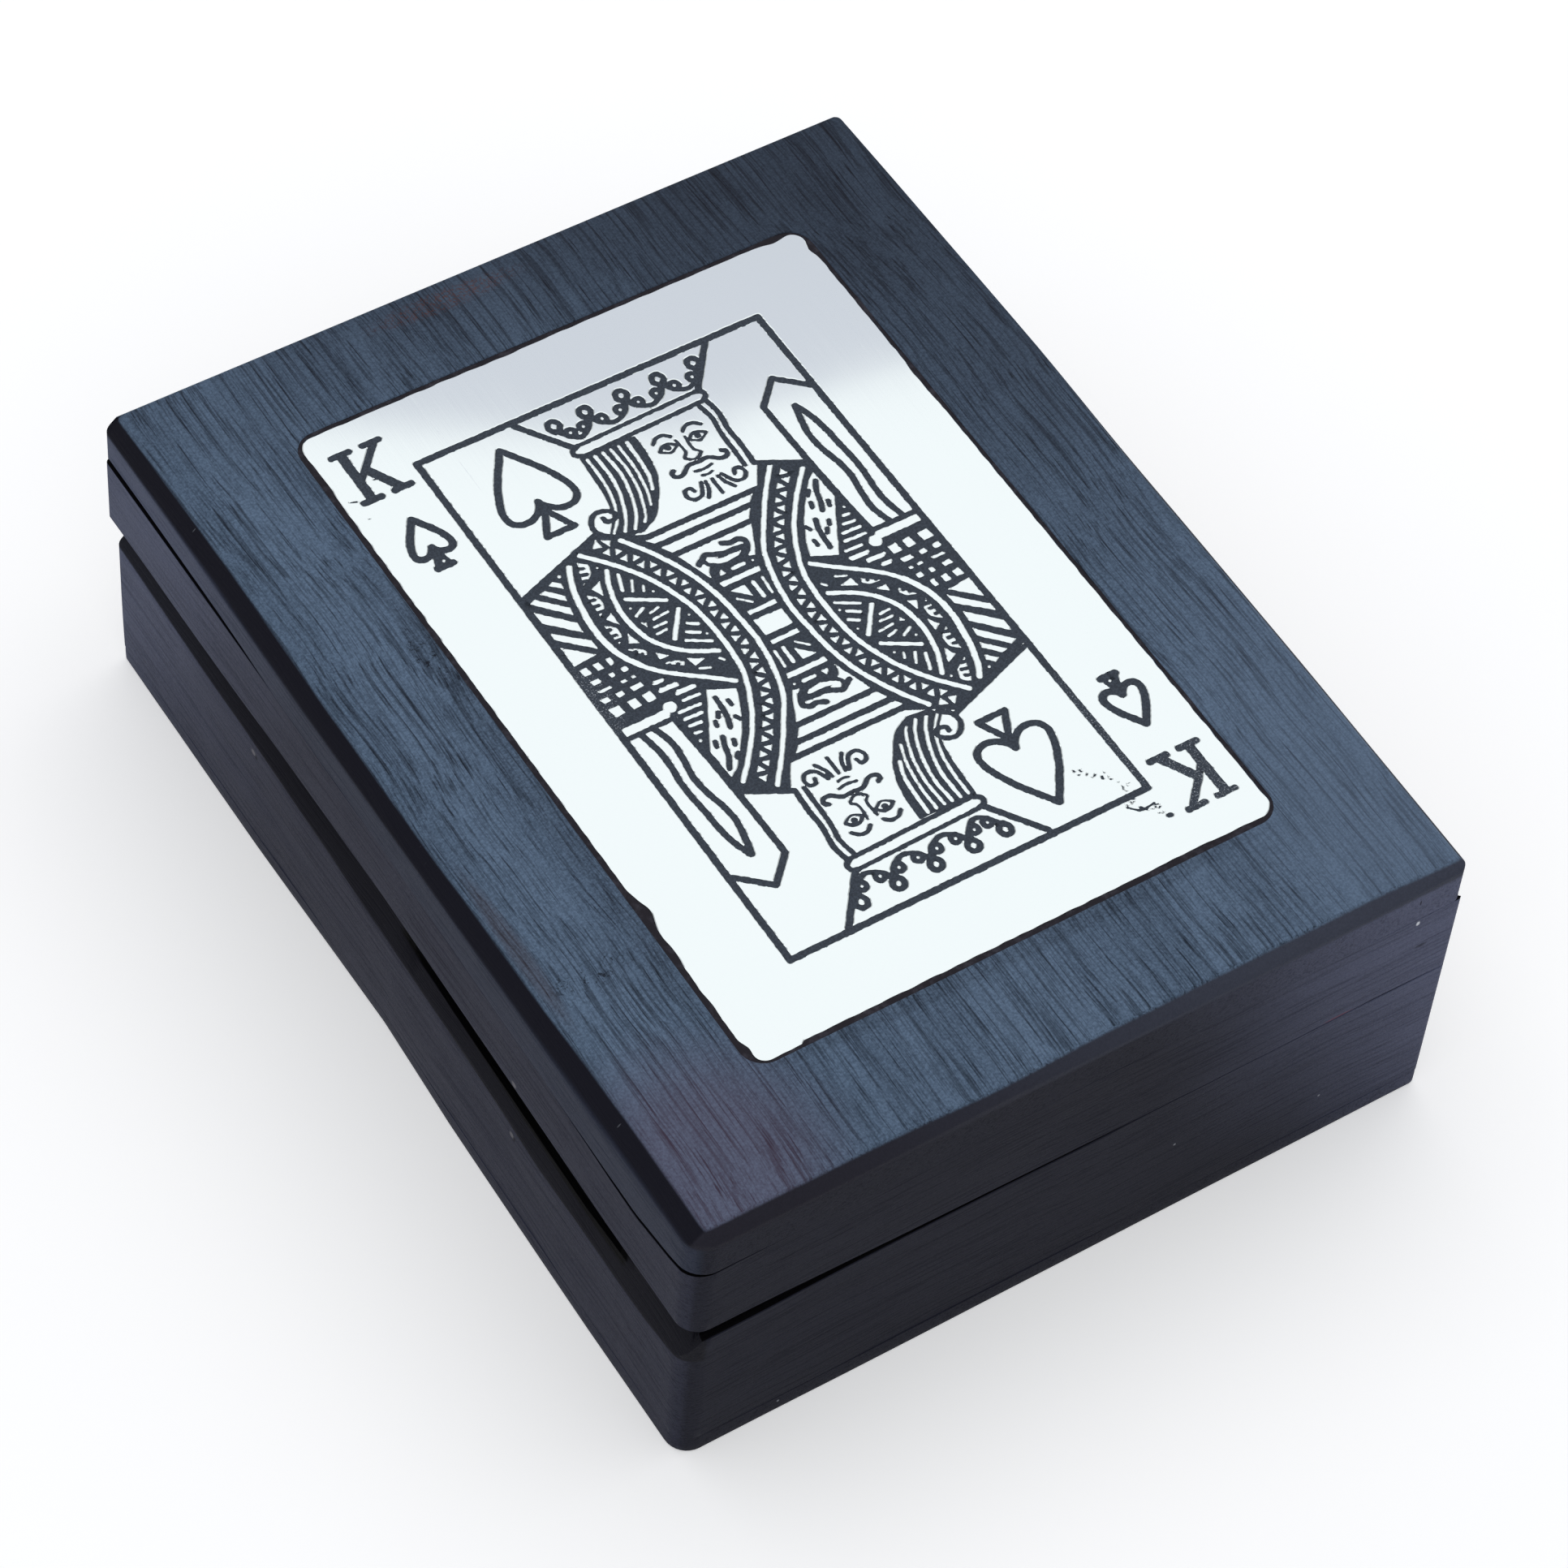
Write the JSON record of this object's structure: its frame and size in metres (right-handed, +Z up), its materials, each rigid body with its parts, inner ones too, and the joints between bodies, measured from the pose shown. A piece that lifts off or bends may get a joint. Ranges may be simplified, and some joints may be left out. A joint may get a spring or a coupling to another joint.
{
  "type": "playing card box",
  "caption": "Small hinged wooden box for playing cards, stained blue-black, with an engraved aluminium playing-card plate let into the lid.",
  "frame": {"origin": "centre of the underside, under the middle of the wooden box; the hinge knuckles stand out beyond it on +X", "axes": "+Z up, +Y along the box's long side towards the back, -X towards the side that opens, hinges on +X"},
  "size_m": [0.0906, 0.1142, 0.0381],
  "materials": {
    "stained_wood": "satin",
    "top_board_wood": "satin",
    "bottom_board_wood": "satin",
    "plate_aluminium": "polished",
    "engraving_black": "matte",
    "bedding_resin": "satin",
    "brass_hinges": "brushed",
    "brass_screws": "polished",
    "steel_pins": "brushed",
    "steel_brads": "dull"
  },
  "bodies": {
    "base": {"base_bottom_board": "bottom_board_wood", "base_front_wall": "stained_wood", "base_hinge_wall": "stained_wood", "base_back_wall": "stained_wood", "base_opening_wall": "stained_wood", "base_corner_brads": "steel_brads", "front_hinge_base_leaf": "brass_hinges", "back_hinge_base_leaf": "brass_hinges", "front_hinge_pin": "steel_pins", "back_hinge_pin": "steel_pins", "base_hinge_screws": "brass_screws"},
    "lid": {"lid_top_board": "top_board_wood", "lid_front_side": "stained_wood", "lid_hinge_side": "stained_wood", "lid_back_side": "stained_wood", "lid_opening_side": "stained_wood", "lid_corner_brads": "steel_brads", "card_plate": "plate_aluminium", "engraving_filling": "engraving_black", "plate_bedding": "bedding_resin", "front_hinge_lid_leaf": "brass_hinges", "back_hinge_lid_leaf": "brass_hinges", "lid_hinge_screws": "brass_screws"}
  },
  "joints": [
    {"name": "lid_hinge", "type": "hinge", "parent": "base", "child": "lid", "pos_m": [0.04465, 0, 0.02095], "axis": [0, 1, 0], "range_deg": [0, 180]}
  ]
}
